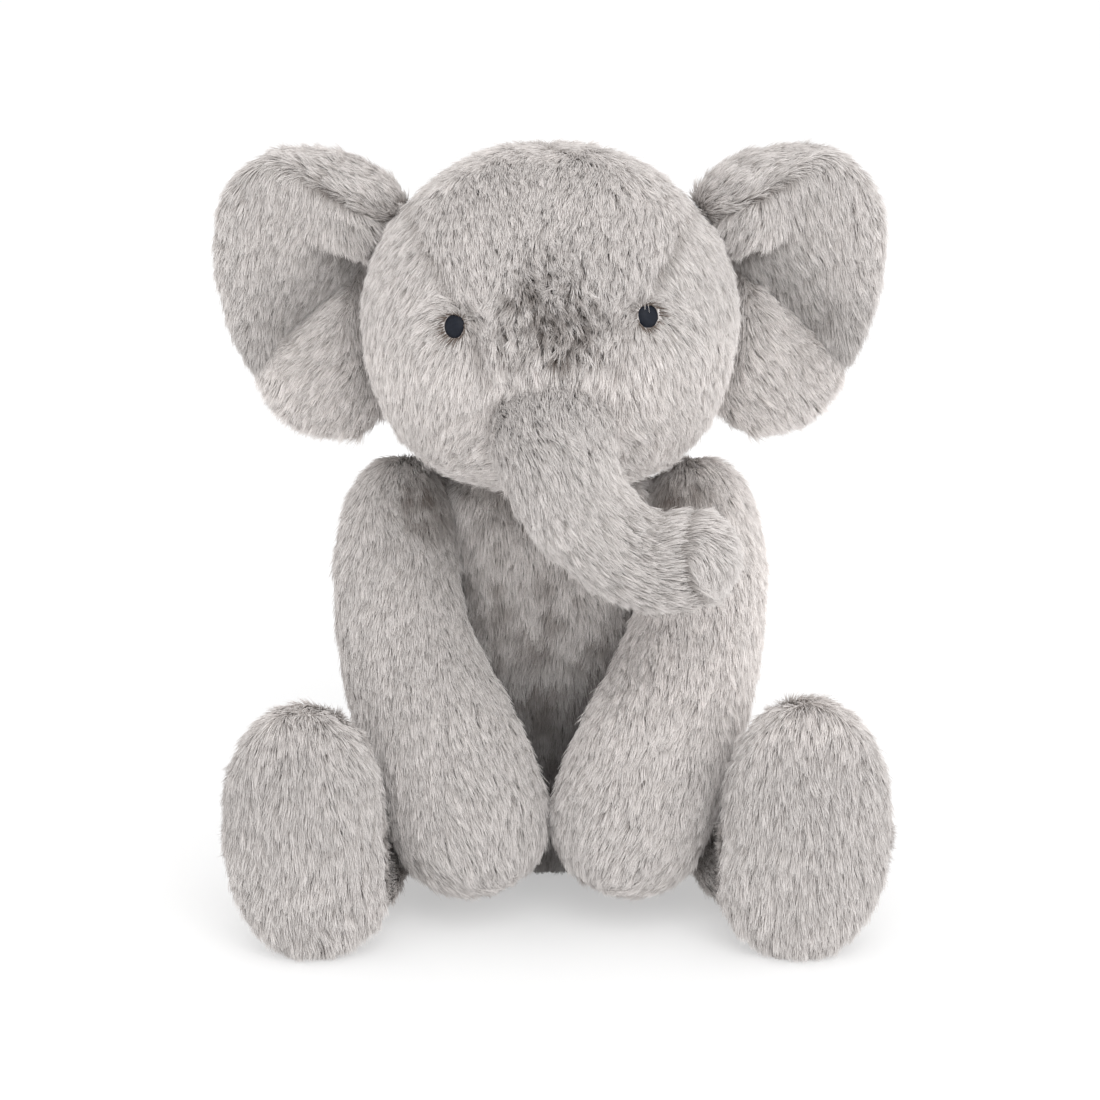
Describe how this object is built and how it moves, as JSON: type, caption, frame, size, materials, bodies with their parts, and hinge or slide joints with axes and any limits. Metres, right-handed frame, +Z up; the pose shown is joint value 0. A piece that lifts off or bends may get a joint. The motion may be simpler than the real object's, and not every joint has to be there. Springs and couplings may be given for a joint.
{
  "type": "stuffed elephant",
  "caption": "Seated long-pile plush elephant with a filled head, curled trunk, floppy ears, drooping arms and upright oval feet.",
  "frame": {"origin": "middle of the seat underside, on the surface the toy sits on", "axes": "+Z up, the face looks along -Y, +X to the viewer's right"},
  "size_m": [0.2556, 0.191, 0.2796],
  "materials": {
    "plush_fabric": "long warm grey pile with darker roots",
    "fibre_filling": "loose white polyester fibre",
    "ear_wadding": "thin flat wadding",
    "eye_thread": "blue black satin stitch",
    "pouch_cloth": "plain woven cotton",
    "pellet_plastic": "moulded pellets"
  },
  "bodies": {
    "torso": {"torso_front_panel": "plush_fabric", "torso_back_left_panel": "plush_fabric", "torso_back_right_panel": "plush_fabric", "torso_base_panel": "plush_fabric", "torso_filling": "fibre_filling", "bean_pouch": "pouch_cloth", "bean_pellets": "pellet_plastic"},
    "neck": {"neck_filling": "fibre_filling"},
    "head": {"head_gusset": "plush_fabric", "head_left_panel": "plush_fabric", "head_right_panel": "plush_fabric", "head_filling": "fibre_filling", "eye_left": "eye_thread", "eye_right": "eye_thread"},
    "trunk_upper": {"trunk_upper_right_panel": "plush_fabric", "trunk_upper_left_panel": "plush_fabric", "trunk_upper_filling": "fibre_filling"},
    "trunk_tip": {"trunk_tip_upper_panel": "plush_fabric", "trunk_tip_lower_panel": "plush_fabric", "trunk_tip_filling": "fibre_filling", "trunk_end_panel": "plush_fabric"},
    "tail": {"tail_tube": "plush_fabric", "tail_tuft": "plush_fabric"},
    "ear_left": {"ear_left_front_panel": "plush_fabric", "ear_left_wadding": "ear_wadding", "ear_left_back_panel": "plush_fabric"},
    "arm_left": {"arm_left_outer_panel": "plush_fabric", "arm_left_inner_panel": "plush_fabric", "arm_left_filling": "fibre_filling"},
    "leg_left": {"leg_left_upper_panel": "plush_fabric", "leg_left_lower_panel": "plush_fabric", "sole_left_panel": "plush_fabric", "leg_left_filling": "fibre_filling"},
    "ear_right": {"ear_right_front_panel": "plush_fabric", "ear_right_wadding": "ear_wadding", "ear_right_back_panel": "plush_fabric"},
    "arm_right": {"arm_right_outer_panel": "plush_fabric", "arm_right_inner_panel": "plush_fabric", "arm_right_filling": "fibre_filling"},
    "leg_right": {"leg_right_upper_panel": "plush_fabric", "leg_right_lower_panel": "plush_fabric", "sole_right_panel": "plush_fabric", "leg_right_filling": "fibre_filling"}
  },
  "joints": [
    {"name": "neck_turn", "type": "hinge", "parent": "torso", "child": "neck", "pos_m": [0, -0.005, 0.15], "axis": [0, 0, 1], "range_deg": [-15, 15]},
    {"name": "head_nod", "type": "hinge", "parent": "neck", "child": "head", "pos_m": [0, -0.005, 0.152], "axis": [-1, 0, 0], "range_deg": [-8, 8]},
    {"name": "trunk_lift", "type": "hinge", "parent": "head", "child": "trunk_upper", "pos_m": [0, -0.059, 0.203], "axis": [-1, 0, 0], "range_deg": [0, 16]},
    {"name": "trunk_curl", "type": "hinge", "parent": "trunk_upper", "child": "trunk_tip", "pos_m": [0.011, -0.099, 0.164], "axis": [0, -1, 0], "range_deg": [-20, 25]},
    {"name": "ear_left_flap", "type": "hinge", "parent": "head", "child": "ear_left", "pos_m": [-0.068, 0.014, 0.222], "axis": [0, 0, 1], "range_deg": [-20, 25]},
    {"name": "ear_right_flap", "type": "hinge", "parent": "head", "child": "ear_right", "pos_m": [0.068, 0.014, 0.222], "axis": [0, 0, -1], "range_deg": [-20, 25]},
    {"name": "arm_left_raise", "type": "hinge", "parent": "torso", "child": "arm_left", "pos_m": [-0.0585, -0.008, 0.1385], "axis": [-1, 0, 0], "range_deg": [0, 55]},
    {"name": "arm_right_raise", "type": "hinge", "parent": "torso", "child": "arm_right", "pos_m": [0.0585, -0.008, 0.1385], "axis": [-1, 0, 0], "range_deg": [0, 20]},
    {"name": "leg_left_swing", "type": "hinge", "parent": "torso", "child": "leg_left", "pos_m": [-0.048, -0.025, 0.024], "axis": [-1, 0, 0], "range_deg": [-25, 4]},
    {"name": "leg_right_swing", "type": "hinge", "parent": "torso", "child": "leg_right", "pos_m": [0.048, -0.025, 0.024], "axis": [-1, 0, 0], "range_deg": [-25, 4]},
    {"name": "tail_lift", "type": "hinge", "parent": "torso", "child": "tail", "pos_m": [0, 0.0436, 0.034], "axis": [1, 0, 0], "range_deg": [-10, 40]}
  ]
}
